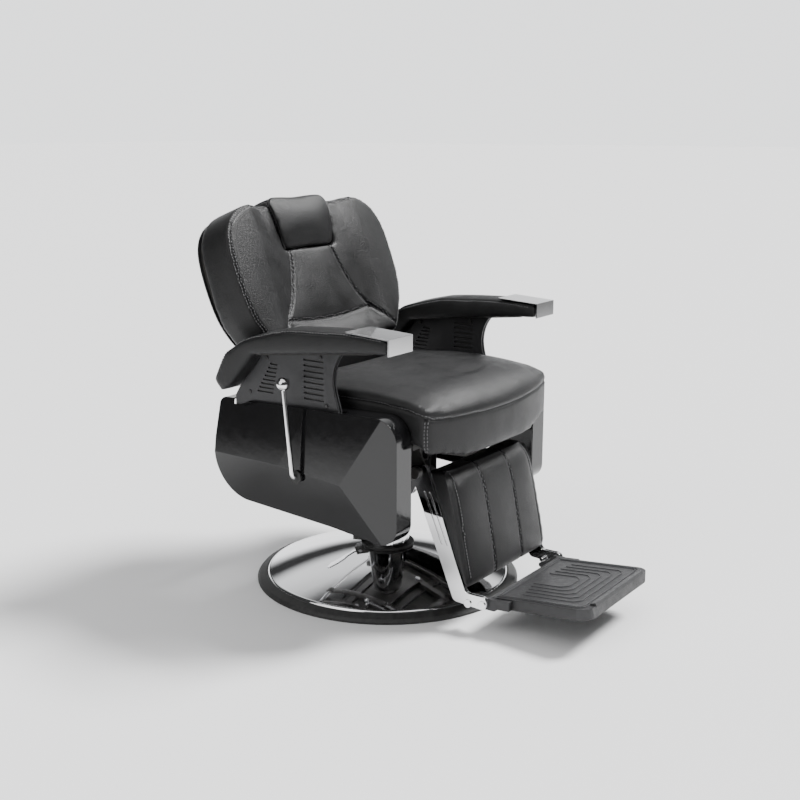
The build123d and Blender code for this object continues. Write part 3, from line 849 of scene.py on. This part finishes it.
def floor():
    """Floor paper with a painted pool of light round the chair and along the main view, its colour fading to
    near black elsewhere as painted shade of the dim studio.
    """
    lane_start, lane_way = (-3.1, -2.22, 0), (0.8125, 0.583, 0)
    s = Shader("studio_floor", Roughness=0.8)

    def vector(operation, first, second=None):
        node = s.nodes.new("ShaderNodeVectorMath")
        node.operation = operation
        s.link(first, node.inputs[0])
        if second:
            node.inputs[1].default_value = second
        return node.outputs

    distance = vector("LENGTH", s.place)["Value"]
    painted_light_round_chair = s.spread(distance, 1.0, 0.0, 2.2, 4.2)
    along = vector("NORMALIZE", vector("SUBTRACT", s.place, lane_start)["Vector"])["Vector"]
    painted_light_lane = s.spread(vector("DOT_PRODUCT", along, lane_way)["Value"], 0.0, 1.0, 0.80, 0.93)
    painted_light = s.nodes.new("ShaderNodeMath")
    painted_light.operation = "MAXIMUM"
    s.link(painted_light_round_chair, painted_light.inputs[0])
    s.link(painted_light_lane, painted_light.inputs[1])
    # The floor's colour is painted light and shade: pale round the chair and along the main view, near black
    # elsewhere.
    colour = s.mix(painted_light.outputs["Value"], (0.02, 0.02, 0.02), (0.88, 0.88, 0.885))
    s.link(colour, s.bsdf.inputs["Base Color"])
    size = 60.0
    corners = [(-size, -size, 0), (size, -size, 0), (size, size, 0), (-size, size, 0)]
    obj = new_object("studio_floor", corners, [(0, 1, 2, 3)], s.material)


def studio_sun(name, toward, angle, strength):
    """A far, broad light, so that the floor is lit evenly all the way out."""
    data = bpy.data.lights.new(name, "SUN")
    data.energy = strength
    data.angle = math.radians(angle)
    obj = bpy.data.objects.new(name, data)
    SCENE.collection.objects.link(obj)
    obj.rotation_euler = Vector(toward).to_track_quat("Z", "Y").to_euler()


def world():
    """A dim studio with a bright backdrop on the far side of the chair: a low band, and a strip above it."""
    data = bpy.data.worlds.new("studio")
    data.use_nodes = True
    tree = data.node_tree
    sky = tree.nodes["Background"]
    place = tree.nodes.new("ShaderNodeTexCoord")

    def band(way, low, high):
        """0 to 1, as the direction looked in turns toward a way."""
        facing = tree.nodes.new("ShaderNodeVectorMath")
        facing.operation = "DOT_PRODUCT"
        facing.inputs[1].default_value = way
        tree.links.new(place.outputs["Generated"], facing.inputs[0])
        ramp = tree.nodes.new("ShaderNodeMapRange")
        ramp.interpolation_type = "SMOOTHSTEP"
        ramp.inputs["From Min"].default_value = low
        ramp.inputs["From Max"].default_value = high
        tree.links.new(facing.outputs["Value"], ramp.inputs["Value"])
        return ramp.outputs["Result"]

    def product(p, q):
        node = tree.nodes.new("ShaderNodeMath")
        node.operation = "MULTIPLY"
        tree.links.new(p, node.inputs[0])
        tree.links.new(q, node.inputs[1])
        return node.outputs["Value"]

    far_side = band((0.81, 0.58, 0.0), 0.45, 0.80)
    low = product(band((0.81, 0.58, 0.0), 0.55, 0.88), band((0.0, 0.0, -1.0), -0.30, -0.11))
    high = product(band((0.0, 0.0, 1.0), 0.36, 0.50), band((0.0, 0.0, -1.0), -0.80, -0.66))
    strip = product(far_side, high)
    both_ways = tree.nodes.new("ShaderNodeMath")
    both_ways.operation = "MULTIPLY_ADD"
    both_ways.inputs[1].default_value = 0.6
    tree.links.new(strip, both_ways.inputs[0])
    tree.links.new(low, both_ways.inputs[2])
    level = tree.nodes.new("ShaderNodeMapRange")
    level.inputs["To Min"].default_value = 0.05
    level.inputs["To Max"].default_value = 1.98
    tree.links.new(both_ways.outputs["Value"], level.inputs["Value"])
    tree.links.new(level.outputs["Result"], sky.inputs["Strength"])
    sky.inputs["Color"].default_value = (0.98, 0.99, 1.0, 1)
    SCENE.world = data


def camera():
    """The main view: from the front of the lever side, looking down a little."""
    data = bpy.data.cameras.new("camera")
    data.lens = 54.2
    data.sensor_width = 36
    data.shift_x = 0.0155
    data.shift_y = -0.0011
    data.clip_end = 100
    obj = bpy.data.objects.new("camera", data)
    SCENE.collection.objects.link(obj)
    obj.location = (-2.2905, -1.6435, 1.084)
    pitch = math.radians(12.82)
    azimuth = math.radians(54.34)
    way = Vector((math.sin(azimuth) * math.cos(pitch), math.cos(azimuth) * math.cos(pitch), -math.sin(pitch)))
    obj.rotation_euler = way.to_track_quat("-Z", "Y").to_euler()
    SCENE.camera = obj


floor()
world()
camera()
studio_sun("key", (0.60, -0.38, 0.88), 18, 6.4)
studio_sun("left", (-0.9, 0.25, 0.5), 50, 0.9)
studio_sun("top", (-0.15, -0.1, 1.0), 80, 1.7)
